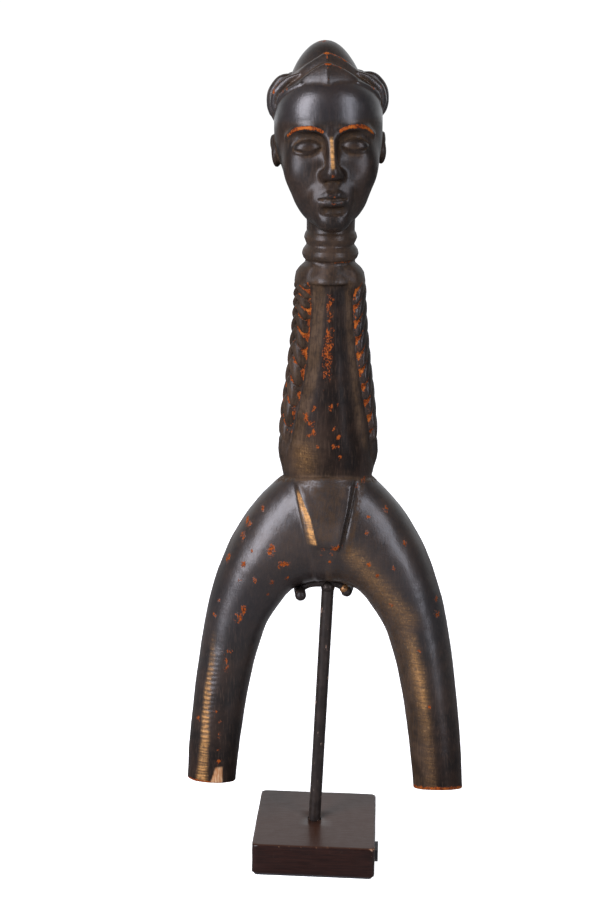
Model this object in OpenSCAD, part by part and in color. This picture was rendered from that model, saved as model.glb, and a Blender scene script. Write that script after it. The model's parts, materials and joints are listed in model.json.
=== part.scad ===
// Carved wooden slingshot frame, a head on a braided torso over a fork, with its display stand.
// Millimetres, +Z up, -Y is the front. The origin is the middle of the stand's underside.

/* [Carving] */
// Height of the underside of the fork's arch above the table
crotch_z = 95.3; // [90:0.1:100]
// Sideways place of the carving's centre line at the arch
figure_x = 2; // [0:0.1:3]
// Sideways lean of the whole carving, in degrees, top towards the left
figure_lean = 0.25; // [0:0.05:1]
// Height of the waist groove above the arch
waist_h = 35.5; // [34:0.5:38]
// Height of the shoulders above the arch
shoulder_h = 99.5; // [97:0.5:101]
// Height of the chin above the arch
chin_h = 112.6; // [111:0.2:114]

/* [Fork] */
// Distance between the middles of the two leg ends
leg_spread = 74.6; // [70:0.2:78]
// Diameter of a leg at its cut end
leg_end_d = 16; // [14:0.2:17]
// How far the leg ends sweep to the front
leg_sweep = 7; // [4:0.5:9]
// Slant of the cut across a leg end, in degrees
cut_slant = 20; // [0:1:25]
// Depth of the hips from front to back
hip_depth = 24; // [22:0.5:26]

/* [Torso] */
// Width of the bare torso at the waist
waist_w = 28; // [26:0.5:29]
// Width of the bare torso under the shoulders
shoulder_w = 19; // [18:0.5:20]
// Depth of the torso from front to back
torso_depth = 21; // [19:0.5:23]
// Number of twists in each braid
braid_twists = 10; // [8:1:12]
// Width of a braid
braid_w = 6.4; // [5:0.2:7]

/* [Head] */
// Width of the hair at its widest
hair_w = 36; // [34:0.5:37]
// Width of the face at the cheekbones
face_w = 31.5; // [30:0.5:33]
// Depth of the head from front to back
head_depth = 40; // [38:0.5:42]
// Turn of the head towards the right of the front view, in degrees
head_turn = 5; // [0:0.5:6]
// Sideways lean of the head on its neck, in degrees, top towards the left
head_lean = 2.2; // [0:0.1:3]
// Diameter of the neck between its rings
neck_d = 15; // [14:0.2:16]
// Number of rings on the neck
neck_rings = 2; // [2:1:3]

/* [Stand] */
// Side of the square base block
base_w = 40; // [38:1:45]
// Height of the base block's top above the table
base_top_z = 11; // [11:0.5:12]
// Radius on the block's upright edges
base_edge_r = 1.2; // [0.6:0.1:2]
// Thickness of the felt under the block
felt_t = 0.8; // [0.5:0.1:1.2]
// How far the felt stays back from the block's edges
felt_inset = 0.8; // [0.5:0.1:1.5]
// Diameter of the upright rod
rod_d = 4; // [3.6:0.1:4]
// Sideways place of the rod where it leaves the block
rod_x = -0.5; // [-1:0.1:0]
// Lean of the rod, in degrees, top towards the right
rod_lean = 2.2; // [2:0.1:2.4]
// Diameter of the bent wire that crosses the top of the rod
wire_d = 2.4; // [2:0.1:2.4]
// Diameter of the two bars that carry the carving
bar_d = 3.6; // [3.2:0.1:3.6]

/* [Hidden] */
$fn = 48;

wood_brown = "#3d332e";
steel_black = "#37322f";
stained_brown = "#3a2622";
brass_brown = "#7a5a30";
zinc_grey = "#8d8f92";
felt_black = "#1c1b1b";

part_gap = 0.3;
rod_clearance = 0.1;

// Rod and hardware
rod_top_z = crotch_z - part_gap - wire_d;
wire_z = rod_top_z + wire_d / 2;
rod_top_x = rod_x + (rod_top_z - base_top_z) * tan(rod_lean);
bore_d = rod_d + rod_clearance;
nut_across_flats = 7;
nut_t = 3.2;
washer_d = 9;
washer_t = 0.8;
pocket_d = 11;
pocket_z = felt_t + 4.8;

// Smooth curve through the rows of a list, t runs from 0 to the last row's number
function clamped(rows, i) = rows[max(0, min(len(rows) - 1, i))];
function curve_at(rows, t) =
    let (i = min(floor(t), len(rows) - 2),
         f = t - i,
         a = clamped(rows, i - 1),
         b = clamped(rows, i),
         c = clamped(rows, i + 1),
         d = clamped(rows, i + 2))
    0.5 * (2 * b + (c - a) * f + (2 * a - 5 * b + 4 * c - d) * f * f
           + (3 * b - a - 3 * c + d) * f * f * f);

// Fork sections from the crotch to a leg end, heights measured from the arch:
// [sideways, height, forward, slant of the section, half thickness, half depth]
hip_b = hip_depth / 2;
end_r = leg_end_d / 2;
end_u = leg_spread / 2;
fork_rows = [
    [0, 17.6, 0, 0, 17.4, hip_b],
    [9.6, 17.1, 0, 16, 18, hip_b],
    [15.5, 12.4, 0, 25, 15.8, hip_b - 0.2],
    [21.4, 4.8, 0.1, 33, 14, hip_b - 0.9],
    [25.6, -3, 0.3, 42, 12.1, hip_b - 1.8],
    [28.6, -11.2, 0.7, 55, 10.6, hip_b - 2.4],
    [31.3, -22.4, 1.6, 66, 9.7, hip_b - 3],
    [33.7, -36, 3, 78, 9, hip_b - 3.4],
    [35.4, -50, 4.8, 83, 8.5, hip_b - 3.7],
    [end_u - 0.5, -62, leg_sweep - 0.4, 85, end_r + 0.1, end_r + 0.1],
    [end_u + 0.1, -74, leg_sweep + 1.8, 86, end_r, end_r]
];
fork_steps = 2;
fork_sides = 28;
cut_z = -68.5;
cut_drop = 40;

// Torso sections: [height, half width, half depth, backward]
waist_a = waist_w / 2;
shoulder_a = shoulder_w / 2;
torso_b = torso_depth / 2;
torso_rows = [
    [waist_h - 8, waist_a + 1, torso_b + 0.7, 0],
    [waist_h, waist_a, torso_b, 0],
    [waist_h + 6, waist_a + 0.3, torso_b + 0.4, 0],
    [waist_h + 18, waist_a - 0.3, torso_b + 0.2, 0],
    [waist_h + 34, (waist_a + shoulder_a) / 2 + 0.3, torso_b - 0.4, 0.3],
    [waist_h + 50, shoulder_a + 0.8, torso_b - 1, 0.6],
    [waist_h + 60, shoulder_a + 0.4, torso_b - 1.6, 0.9],
    [shoulder_h, shoulder_a - 0.4, torso_b - 2, 1]
];
torso_steps = 2;
torso_sides = 36;

// Braids: places along each side of the torso, [height, angle from the front]
braid_low = [waist_h + 4.5, 72];
braid_high = [shoulder_h - 5, 58];
twist_slant = 38;
twist_depth = 2.1;
twist_overlap = 0.68;

// Apron over the hips: [sideways, backward from the front of the hips, height, half sizes]
apron_masses = [
    [-9.5, 1, waist_h - 2, [2, 2.2, 1.4]],
    [9.5, 1, waist_h - 2, [2, 2.2, 1.4]],
    [0, 0.6, waist_h - 14, [8.2, 2.4, 4]],
    [0, 1, 8, [3, 2, 2]]
];

// Neck: its collar, its rings and how far it stands behind the middle of the figure
neck_r = neck_d / 2;
neck_h = chin_h - shoulder_h;
neck_back = 1.2;
collar_r = neck_r + 2.4;
collar_h = 4.5;
ring_h = 5;
ring_r = neck_r + 0.6;
ring_b = 2.1;

// Head: heights above the chin, and rounded masses like those of the apron, but with
// the second number counted backward from the front of the face
hair_a = hair_w / 2;
face_a = face_w / 2;
head_b = head_depth / 2;
eye_x = 7;
eye_h = 26;
brow_h = 31;
nose_h = 19;
hairline_h = 43.2;
mouth_rows = [[0, 3.4, 13.4, [5.2, 2.4, 1.1]], [0, 3.8, 11.2, [4.4, 2.4, 1.2]]];
face_masses = [
    [0, 9.5, 6.5, [6.6, 6.6, 6.2]],
    [0, 12, 18, [face_a - 3, 11, 9]],
    [0, 13.5, 28, [face_a, 13, 11]],
    [0, 14, 37, [face_a + 0.3, 13, 9]],
    [0, head_b + 6, 34, [face_a - 1, 11, 12]]
];
nape_masses = [
    [0, head_b + 1, 3, [neck_r, neck_r, 3]],
    [0, 12, 12, [9, 8, 7]],
    [0, head_b + 6, 20, [face_a - 3, 10, 9]],
    [0, head_b + 5, 32, [face_a - 1, 12, 9]]
];
nose_masses = [
    [0, 1.6, nose_h + 10, [1.6, 2, 2]],
    [0, 0.2, nose_h + 0.5, [2.4, 2.6, 2]],
    [0, 3, nose_h, [4, 2.4, 2]]
];
crest_masses = [[0, head_b - 4, 44, [8.8, 11, 10.6]], [0, head_b + 6, 41, [9.5, 12, 11.5]]];
lobe_masses = [
    [hair_a - 6, head_b - 5, 40, [5.6, 7, 5]],
    [hair_a - 5, head_b, 36, [5, 9, 5]],
    [hair_a - 8, head_b + 9, 35, [7, 9, 9]]
];
band_masses = [[0, 2.6, hairline_h, [2, 2, 1.6]], [face_a - 1, 14, hairline_h - 3.6, [2, 2, 1.6]]];

module ball(place, size, detail = 18) {
    translate(place)
        scale(size)
            sphere(r = 1, $fn = detail);
}

// Ball for one row of masses, its second number counted backward from front_y
module mass(row, front_y, side = 1, detail = 18) {
    ball([side * row[0], row[1] - front_y, row[2]], row[3], detail);
}

// One rounded body over several masses
module body_of(rows, front_y, side = 1, detail = 18) {
    hull()
        for (row = rows)
            mass(row, front_y, side, detail);
}

// One closed solid through a list of rings, which all have the same number of points and turn
// to the right about the way the list runs
module loft(rings) {
    sides = len(rings[0]);
    last = len(rings) - 1;
    points = [for (ring = rings) for (p = ring) p];
    walls = [
        for (i = [0 : last - 1])
            for (k = [0 : sides - 1])
                let (n = (k + 1) % sides)
                [i * sides + k, (i + 1) * sides + k, (i + 1) * sides + n, i * sides + n]
    ];
    low_end = [[for (k = [0 : sides - 1]) k]];
    high_end = [[for (k = [sides - 1 : -1 : 0]) last * sides + k]];
    polyhedron(points, concat(walls, low_end, high_end));
}

// Ring of the fork on one side, side is -1 on the left and 1 on the right
function fork_ring(row, side) = [
    for (k = [0 : fork_sides - 1])
        let (a = 360 * k / fork_sides, up = row[4] * cos(a))
        [side * (row[0] + up * sin(row[3])), -row[2] - row[5] * sin(a), row[1] + up * cos(row[3])]
];

module fork() {
    last = (len(fork_rows) - 1) * fork_steps;
    left = [for (i = [last : -1 : 1]) fork_ring(curve_at(fork_rows, i / fork_steps), -1)];
    right = [for (i = [0 : last]) fork_ring(curve_at(fork_rows, i / fork_steps), 1)];
    difference() {
        loft(concat(left, right));
        translate([0, -leg_sweep, cut_z])
            rotate([-cut_slant, 0, 0])
                translate([-leg_spread, -cut_drop, -cut_drop])
                    cube([2 * leg_spread, 2 * cut_drop, cut_drop]);
    }
}

module torso() {
    last = (len(torso_rows) - 1) * torso_steps;
    loft([
        for (i = [0 : last])
            let (row = curve_at(torso_rows, i / torso_steps))
            [for (k = [0 : torso_sides - 1])
                let (a = 360 * k / torso_sides)
                [row[1] * cos(a), row[3] + row[2] * sin(a), row[0]]]
    ]);
}

// Half width and half depth of the torso at a height above the arch
function torso_size(h) =
    let (t = lookup(h, [for (i = [0 : len(torso_rows) - 1]) [torso_rows[i][0], i]]))
    curve_at(torso_rows, t);

module braid(side) {
    pitch = (braid_high[0] - braid_low[0]) / (braid_twists - 0.5);
    for (i = [0 : braid_twists - 1]) {
        f = i / (braid_twists - 1);
        h = braid_low[0] + i * pitch;
        angle = braid_low[1] + f * (braid_high[1] - braid_low[1]);
        size = torso_size(h);
        translate([side * size[1] * sin(angle), size[3] - size[2] * cos(angle), h])
            rotate([0, 0, side * angle])
                rotate([0, side * twist_slant, 0])
                    ball([0, 0, 0], [braid_w / 2, twist_depth, pitch * twist_overlap], 12);
    }
}

module apron() {
    body_of(apron_masses, hip_b, 1, 14);
}

module neck() {
    translate([0, neck_back, shoulder_h - 3])
        cylinder(r1 = collar_r, r2 = neck_r, h = collar_h + 1, $fn = 32);
    translate([0, neck_back, shoulder_h - 1])
        cylinder(r = neck_r, h = neck_h + 4, $fn = 32);
    for (i = [0 : neck_rings - 1])
        ball([0, neck_back, shoulder_h + collar_h + 1.5 + i * ring_h], [ring_r, ring_r, ring_b], 26);
}

module face() {
    body_of(face_masses, head_b);
    body_of(nape_masses, head_b);
    body_of(nose_masses, head_b, 1, 12);
    for (lip = mouth_rows)
        mass(lip, head_b, 1, 16);
    for (side = [-1, 1]) {
        eyelid = [eye_x, 4.2, eye_h, [3.8, 2.4, 2.1]];
        brow = [eye_x, 3.4, brow_h, [5.6, 2.4, 1.3]];
        ear = [face_a + 0.4, head_b, eye_h - 1.5, [2.2, 4, 5.6]];
        for (row = [eyelid, brow, ear])
            mass(row, head_b, side, 16);
    }
}

module hair() {
    // cap over the skull
    ball([0, 0.5, 38], [face_a + 0.6, head_b - 2, 15], 24);
    body_of(crest_masses, head_b);
    for (side = [-1, 1]) {
        body_of(lobe_masses, head_b, side);
        // raised band along the hairline
        body_of(band_masses, head_b, side, 12);
    }
}

module head() {
    translate([0, 1, chin_h])
        rotate([0, -head_lean, head_turn]) {
            face();
            hair();
        }
}

module carved_figure() {
    color(wood_brown)
        translate([figure_x, 0, crotch_z])
            rotate([0, -figure_lean, 0]) {
                fork();
                torso();
                apron();
                neck();
                head();
                for (side = [-1, 1])
                    braid(side);
            }
}

// Square plate with round upright corners
module plate(side, low_z, high_z, corner_r) {
    span = side - 2 * corner_r;
    translate([-side / 2, -span / 2, low_z])
        cube([side, span, high_z - low_z]);
    translate([-span / 2, -side / 2, low_z])
        cube([span, side, high_z - low_z]);
    for (x = [-span / 2, span / 2])
        for (y = [-span / 2, span / 2])
            translate([x, y, low_z])
                cylinder(r = corner_r, h = high_z - low_z);
}

// Places its children on the rod's leaning axis, with z = 0 at the top of the block
module on_rod_axis() {
    translate([rod_x, 0, base_top_z])
        rotate([0, rod_lean, 0])
            children();
}

module base_block() {
    pocket_depth = base_top_z - pocket_z;
    color(stained_brown)
        difference() {
            plate(base_w, felt_t, base_top_z, base_edge_r);
            on_rod_axis() {
                translate([0, 0, -2 * base_top_z])
                    cylinder(d = bore_d, h = 3 * base_top_z);
                translate([0, 0, -pocket_depth - base_top_z])
                    cylinder(d = pocket_d, h = base_top_z);
            }
        }
}

module support_rod() {
    low = base_top_z - pocket_z + washer_t + nut_t;
    high = (rod_top_z - base_top_z) / cos(rod_lean);
    color(steel_black)
        on_rod_axis()
            translate([0, 0, -low])
                cylinder(d = rod_d, h = low + high);
}

// Bent wire across the top of the rod: [sideways, depth below the top of the wire's bend]
wire_rows = [[-7.4, 2.8], [-4.8, 1.1], [-2.2, 0.2], [rod_top_x, 0], [5.4, 0.1], [7.4, 1.1], [9.1, 2.3]];
wire_sides = 12;
wire_steps = 4;

// Ring of the wire round a point of its path, across a direction in the plane of the fork
function wire_ring(middle, run) =
    let (out = [-run[1], run[0]] / norm(run))
    [for (k = [0 : wire_sides - 1])
        let (a = 360 * k / wire_sides, across = wire_d / 2 * cos(a))
        [middle[0] + across * out[0], -wire_d / 2 * sin(a), middle[1] + across * out[1]]];

module cradle_wire() {
    last = (len(wire_rows) - 1) * wire_steps;
    path = [
        for (i = [0 : last])
            let (row = curve_at(wire_rows, i / wire_steps))
            [row[0], wire_z - row[1]]
    ];
    color(steel_black)
        loft([for (i = [0 : last]) wire_ring(path[i], path[min(i + 1, last)] - path[max(i - 1, 0)])]);
}

// Bar with round ends between two points, which are the middles of its end domes
module round_bar(from, to, d) {
    run = to - from;
    flat = norm([run[0], run[1]]);
    length = norm(run);
    dome = [for (a = [0 : 15 : 90]) d / 2 * [sin(a), cos(a)]];
    outline = concat(
        [for (p = dome) [p[0], length + p[1]]],
        [for (i = [len(dome) - 1 : -1 : 0]) [dome[i][0], -dome[i][1]]]
    );
    color(steel_black)
        translate(from)
            rotate([0, atan2(flat, run[2]), atan2(run[1], run[0])])
                rotate_extrude()
                    polygon(outline);
}

bar_z = wire_z - 2.6;
left_bar_ends = [[-5.9, -4.9, bar_z - 0.1], [-7.2, 6, bar_z - 0.1]];
right_bar_ends = [[8.7, 0.4, bar_z], [9.3, 7.6, bar_z]];

module left_cradle_bar() {
    round_bar(left_bar_ends[0], left_bar_ends[1], bar_d);
}

module right_cradle_bar() {
    round_bar(right_bar_ends[0], right_bar_ends[1], bar_d);
}

module braze_beads() {
    color(brass_brown) {
        translate([rod_top_x, 0, rod_top_z])
            sphere(r = rod_d / 2 + 0.25);
        translate([-6.2, 0, wire_z - 2])
            sphere(d = wire_d + 0.7);
        translate([7.9, 0, wire_z - 1.5])
            sphere(d = wire_d + 0.7);
    }
}

module rod_washer() {
    color(zinc_grey)
        on_rod_axis()
            translate([0, 0, pocket_z - base_top_z - washer_t])
                difference() {
                    cylinder(d = washer_d, h = washer_t);
                    translate([0, 0, -1])
                        cylinder(d = bore_d, h = washer_t + 2);
                }
}

module rod_nut() {
    color(zinc_grey)
        on_rod_axis()
            translate([0, 0, pocket_z - base_top_z - washer_t - nut_t])
                difference() {
                    cylinder(d = nut_across_flats / cos(30), h = nut_t, $fn = 6);
                    translate([0, 0, -1])
                        cylinder(d = bore_d, h = nut_t + 2);
                }
}

module base_felt() {
    color(felt_black)
        plate(base_w - 2 * felt_inset, 0, felt_t, base_edge_r);
}

module side_tag() {
    tag_t = 1;
    tag_w = 6;
    tag_h = 4;
    color(steel_black)
        translate([base_w / 2, 3.4 - base_w / 2, base_top_z - 2 - tag_h])
            cube([tag_t, tag_w, tag_h]);
}

carved_figure();
base_block();
support_rod();
cradle_wire();
left_cradle_bar();
right_cradle_bar();
braze_beads();
rod_nut();
rod_washer();
base_felt();
side_tag();
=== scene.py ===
"""Looks of the carved slingshot frame and its stand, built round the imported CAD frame."""
import json
import math

import bpy
import numpy as np
import openvdb
from mathutils import Matrix, Vector


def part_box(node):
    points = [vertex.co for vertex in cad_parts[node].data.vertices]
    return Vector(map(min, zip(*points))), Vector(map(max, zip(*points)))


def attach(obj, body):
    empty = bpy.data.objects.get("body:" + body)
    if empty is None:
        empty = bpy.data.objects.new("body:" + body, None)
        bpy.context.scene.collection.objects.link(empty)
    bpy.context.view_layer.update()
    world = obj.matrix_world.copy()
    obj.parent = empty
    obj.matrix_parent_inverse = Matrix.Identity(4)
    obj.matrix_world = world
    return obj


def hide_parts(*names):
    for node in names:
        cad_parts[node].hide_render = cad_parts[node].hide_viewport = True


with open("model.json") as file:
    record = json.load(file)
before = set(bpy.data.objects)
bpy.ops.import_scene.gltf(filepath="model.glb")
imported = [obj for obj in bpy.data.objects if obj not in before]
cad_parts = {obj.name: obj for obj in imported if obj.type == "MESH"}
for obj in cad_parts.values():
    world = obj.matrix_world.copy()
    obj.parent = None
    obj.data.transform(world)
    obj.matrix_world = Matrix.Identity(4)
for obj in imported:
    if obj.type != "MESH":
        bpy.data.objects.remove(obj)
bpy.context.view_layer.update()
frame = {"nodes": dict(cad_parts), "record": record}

MM = 0.001


# ---------------------------------------------------------------- small maths

def soft_min(a, b, k):
    """Union of two distance fields with a fillet of about k."""
    h = np.clip(0.5 + 0.5 * (b - a) / k, 0, 1)
    return b + (a - b) * h - k * h * (1 - h)


def soft_max(a, b, k):
    """Intersection of two distance fields with a rounded edge of about k."""
    return -soft_min(-a, -b, k)


def step(low, high, x):
    """0 below low, 1 above high, smooth between. Turns round when high is below low."""
    t = np.clip((x - low) / (high - low), 0, 1)
    return t * t * (3 - 2 * t)


def window(x, low, low_full, high_full, high):
    """1 between the two middle values, 0 outside the outer two, smooth between."""
    return step(low, low_full, x) * step(high, high_full, x)


def bell(x, middle, width):
    return np.exp(-((x - middle) / width) ** 2)


def plateau(x, middle, width):
    """Like a bell, with a flat top and steeper sides."""
    return np.exp(-((x - middle) / width) ** 4)


def one_sided(x, middle, below, above):
    """A bell with one width below its middle and another above it."""
    return bell(x, middle, np.where(x < middle, below, above))


def oval(x, y, a, b):
    """Distance to an ellipse with half-widths a and b, close to true near its edge."""
    k0 = np.hypot(x / a, y / b)
    k1 = np.hypot(x / a ** 2, y / b ** 2)
    return k0 * (k0 - 1) / np.maximum(k1, 1e-6)


def ramp(x, rows):
    """Straight lines through rows of (x, value), with x rising."""
    xs, values = zip(*rows)
    return np.interp(x, xs, values)


def curve(points, per_span):
    """Points along a smooth curve through the given ones, so many to each span."""
    p = np.array(points, float)
    ends = np.vstack([2 * p[0] - p[1], p, 2 * p[-1] - p[-2]])
    out = []
    for a, b, c, d in zip(ends[:-3], ends[1:-2], ends[2:-1], ends[3:]):
        for t in np.arange(per_span) / per_span:
            out.append(0.5 * (2 * b + (c - a) * t + (2 * a - 5 * b + 4 * c - d) * t ** 2
                              + (3 * b - a - 3 * c + d) * t ** 3))
    return np.array(out + [p[-1]])


class Lattice:
    """Smooth random field: values on a seeded lattice with cells of one size, blended between."""

    def __init__(self, seed, cell):
        self.values = np.random.default_rng(seed).uniform(-1, 1, (32, 32, 32)).astype(np.float32)
        self.cell = cell

    def __call__(self, p):
        q = p / self.cell + 1000
        low = np.floor(q).astype(int)
        f = q - low
        f = f * f * (3 - 2 * f)
        total = 0
        for corner in np.ndindex(2, 2, 2):
            i = (low + corner) % 32
            w = np.prod(np.where(corner, f, 1 - f), axis=1)
            total = total + w * self.values[i[:, 0], i[:, 1], i[:, 2]]
        return total


# ------------------------------------------------------- distance-field shapes

FAR = 30.0


class Ellipsoid:
    def __init__(self, centre, radii, turn=(0, 0, 0)):
        self.centre = np.array(centre, float)
        self.radii = np.array(radii, float)
        self.rotation = np.array(Matrix.Rotation(math.radians(turn[2]), 3, "Z")
                                 @ Matrix.Rotation(math.radians(turn[1]), 3, "Y")
                                 @ Matrix.Rotation(math.radians(turn[0]), 3, "X"))
        size = np.abs(self.rotation) @ self.radii
        self.low = self.centre - size
        self.high = self.centre + size

    def __call__(self, p):
        q = (p - self.centre) @ self.rotation / self.radii
        k0 = np.sqrt((q ** 2).sum(axis=1))
        k1 = np.sqrt(((q / self.radii) ** 2).sum(axis=1))
        return k0 * (k0 - 1) / np.maximum(k1, 1e-6)


class Tube:
    """Round tube along a smooth curve, its radius changing evenly through the given radii."""

    def __init__(self, points, radii):
        self.points = curve(points, 5)
        given = np.linspace(0, 1, len(radii))
        self.radii = np.interp(np.linspace(0, 1, len(self.points)), given, radii)
        widest = self.radii.max()
        self.low = self.points.min(axis=0) - widest
        self.high = self.points.max(axis=0) + widest

    def __call__(self, p):
        best = np.full(len(p), FAR)
        ends = zip(self.points[:-1], self.points[1:], self.radii[:-1], self.radii[1:])
        for a, b, ra, rb in ends:
            run = b - a
            t = np.clip(((p - a) @ run) / (run @ run), 0, 1)
            away = np.sqrt(((p - a - t[:, None] * run) ** 2).sum(axis=1))
            best = np.minimum(best, away - (ra + t * (rb - ra)))
        return best


def near(part, p, k):
    """Which points are close enough to a part to be changed by it."""
    reach = 1.5 * k + 2
    return np.flatnonzero(((p > part.low - reach) & (p < part.high + reach)).all(axis=1))


def join(field, p, part, k):
    i = near(part, p, k)
    if len(i):
        field[i] = soft_min(field[i], part(p[i]), k)


def carve(field, p, part, k):
    i = near(part, p, k)
    if len(i):
        field[i] = soft_max(field[i], -part(p[i]), k)


def both_sides(make):
    return [make(-1), make(1)]


# ------------------------------------------------- the carving, in its own frame
# Millimetres. The origin is the top of the fork's arch, z up, -y the front.

ARCH_Z = 95.3
FIGURE_X = 2.0
FIGURE_LEAN = math.radians(-0.25)

WAIST_H = 35.4
CHIN_H = 112.6
HIP_DEPTH = 12.0
LEG_SWEEP = 7.3
LEG_LENGTH = 68.0

surface_waves = Lattice(3, 7.0)
surface_ripples = Lattice(4, 2.6)


class ForkOutline:
    """Signed distances in the plane of the fork to its outer and inner edges."""

    OUTER = [(0, 38.5), (8, 37.6), (13.4, 35.4), (16, 32.9), (21, 27.7), (25, 22.7), (28.1, 17.7),
             (30.9, 12.7), (33.1, 7.7), (35, 2.7), (36.6, -2.3), (38.1, -8), (39.8, -17),
             (41.4, -27), (42.7, -37), (43.8, -47.5), (44.6, -57), (45.2, -68), (45.8, -80)]
    INNER = [(0, 0), (4.5, -0.5), (9.3, -2.3), (12.1, -4.6), (14.3, -7.4), (17.5, -12.2),
             (19.9, -17), (22.9, -27), (25.1, -37), (26.8, -47.5), (28.1, -57), (29.3, -68),
             (30.4, -80)]
    LOW = np.array([-2.0, -84.0])
    CELL = 0.5
    SHAPE = (108, 260)

    def __init__(self):
        u = self.LOW[0] + self.CELL * np.arange(self.SHAPE[0])
        h = self.LOW[1] + self.CELL * np.arange(self.SHAPE[1])
        grid = np.stack(np.meshgrid(u, h, indexing="ij"), axis=-1).reshape(-1, 2)
        self.outer = self.signed(grid, curve(self.OUTER, 6), 1).reshape(self.SHAPE)
        self.inner = self.signed(grid, curve(self.INNER, 6), -1).reshape(self.SHAPE)

    @staticmethod
    def signed(grid, line, side):
        best = np.full(len(grid), 1e9)
        sign = np.ones(len(grid))
        for a, b in zip(line[:-1], line[1:]):
            run = b - a
            t = np.clip(((grid - a) @ run) / (run @ run), 0, 1)
            off = grid - a - t[:, None] * run
            away = (off ** 2).sum(axis=1)
            closer = away < best
            cross = run[0] * off[:, 1] - run[1] * off[:, 0]
            best = np.where(closer, away, best)
            sign = np.where(closer, -side * np.sign(cross), sign)
        return sign * np.sqrt(best)

    def __call__(self, u, h):
        """Distances into the wood from the outer edge and from the inner edge."""
        x = np.clip((u - self.LOW[0]) / self.CELL, 0, self.SHAPE[0] - 1.001)
        y = np.clip((h - self.LOW[1]) / self.CELL, 0, self.SHAPE[1] - 1.001)
        i, j = x.astype(int), y.astype(int)
        fx, fy = x - i, y - j
        out = []
        for table in (self.outer, self.inner):
            low = table[i, j] * (1 - fx) + table[i + 1, j] * fx
            high = table[i, j + 1] * (1 - fx) + table[i + 1, j + 1] * fx
            out.append(low * (1 - fy) + high * fy)
        return out


fork_outline = ForkOutline()


def leg_forward(h):
    """How far forward the middle of a leg is at a height below the arch."""
    return LEG_SWEEP * np.clip(-h / LEG_LENGTH, 0, 1.3) ** 1.45


def fork_shift(h):
    """The legs drift a little to the right on their way down."""
    return 0.5 * np.clip(-h / LEG_LENGTH, 0, 1)


# Edges of the apron panel and of the bevel on its left, as (height, sideways)
APRON_LEFT = [(0, -2.4), (14.7, -2.6), (24.2, -5.0), (29.8, -7.6), (33.2, -9.0), (37, -10.2)]
APRON_RIGHT = [(0, 2.4), (14.7, 4.7), (20.4, 5.8), (26.8, 7.1), (37, 8.6)]
APRON_FOOT = [(0, -3.4), (4.7, -3.9), (9.5, -4.5), (13, -5.3), (17.4, -6.4), (25.3, -8.3),
              (33, -9.8), (37, -10.9)]
APRON_LOW = 14.7


def apron_places(p):
    """Distances inwards from the panel's left edge, its left bevel's foot and its right edge."""
    x, h = p[:, 0], p[:, 2]
    return x - ramp(h, APRON_LEFT), x - ramp(h, APRON_FOOT), ramp(h, APRON_RIGHT) - x


def apron_rise(p):
    """How far the apron stands out of the hips."""
    h = p[:, 2]
    left, foot, right = apron_places(p)
    slope_up = np.clip(foot / np.maximum(foot - left, 0.2), 0, 1)
    lips = 0.45 * bell(right, 0.2, 2.2) + 0.3 * bell(left, 1.0, 1.6) * step(24, 31, h)
    flap = (1.1 + lips) * slope_up * step(-0.5, 0.3, right) * step(APRON_LOW - 3.4, APRON_LOW + 0.6, h)
    strip = 0.6 * step(-0.3, 1.0, foot) * step(-2.0, 1.5, right) * step(-3, 2, h)
    groove = 0.55 * bell(right, -0.9, 0.7) * step(12, 19, h)
    return (np.maximum(flap, strip) - groove) * step(WAIST_H + 0.6, WAIST_H - 2.2, h)


def waist_line(x):
    return WAIST_H + 0.9 - 0.011 * (x - 0.8) ** 2


def fork(p):
    x, y, h = p[:, 0] - fork_shift(p[:, 2]), p[:, 1], p[:, 2]
    from_outer, from_inner = fork_outline(np.abs(x), h)
    half = np.maximum(0.5 * (from_outer + from_inner), 1.0)
    across = 0.5 * (from_inner - from_outer)
    depth = soft_min(half, np.full_like(half, HIP_DEPTH), 4.0)
    field = oval(across, y + leg_forward(h), half, depth)
    # upright block of the hips, flat on top under the waist
    grow = ramp(h, [(0, 1.2), (24, 1.2), (WAIST_H, 0)])
    block = oval(p[:, 0], y, 13.7 + grow, 11.0 + 0.5 * grow)
    block = soft_max(block, 14.0 - h, 8.0)
    field = soft_min(field, block, 2.2)
    field = soft_max(field, h - waist_line(p[:, 0]), 0.8)
    return field - step(-1.0, -6.0, y) * apron_rise(p)


# The cut at the end of each leg: its depth below the arch, its slope from front to back in radians,
# the leg's middle, and its slope from there sideways
LEFT_CUT = (67.7, 0.25, -35, -0.045)
RIGHT_CUT = (68.2, 0.34, 37, 0.02)


def cut_planes(p):
    """Distance past the slanting cut of the nearer leg end."""
    x, y, h = p.T

    def past(depth, slope, middle, sideways):
        down = -(h + depth) * math.cos(slope)
        return down - (y + LEG_SWEEP) * math.sin(slope) + sideways * (x - middle)

    return np.where(x < 0, past(*LEFT_CUT), past(*RIGHT_CUT))


TORSO_HALF = [(28, 15.0), (34.5, 14.1), (37.6, 14.8), (40.3, 15.5), (43, 15.8), (46.5, 15.6), (52, 15.3),
              (60, 14.5), (65.7, 13.8), (73.4, 12.9), (80.7, 12.1), (88.4, 11.5), (95.7, 11.1), (99, 10.5),
              (101, 9.2), (104, 7.0)]
TORSO_DEPTH = [(28, 11.2), (35.5, 10.4), (45, 10.8), (60, 10.6), (75, 9.8), (90, 9.0), (99.5, 8.2),
               (104, 6.5)]
TORSO_Y = 0.6
TORSO_TURN = 6.5
BRAID_BUMP = 1.6

# Angles round the torso from its front, as (height, degrees): the bottoms of the two channels
# and the front edges of the braids
LEFT_CHANNEL = [(42, 66), (50, 56), (60, 46), (75, 39), (92, 36), (99, 34)]
RIGHT_CHANNEL = [(42, 44), (50, 33), (60, 27), (75, 22), (92, 19), (99, 17)]
BRAID_FRONT = [(42, 66), (52, 60), (60, 51), (71, 44), (83, 41), (96, 40)]
BRAID_SPAN = 50


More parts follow.
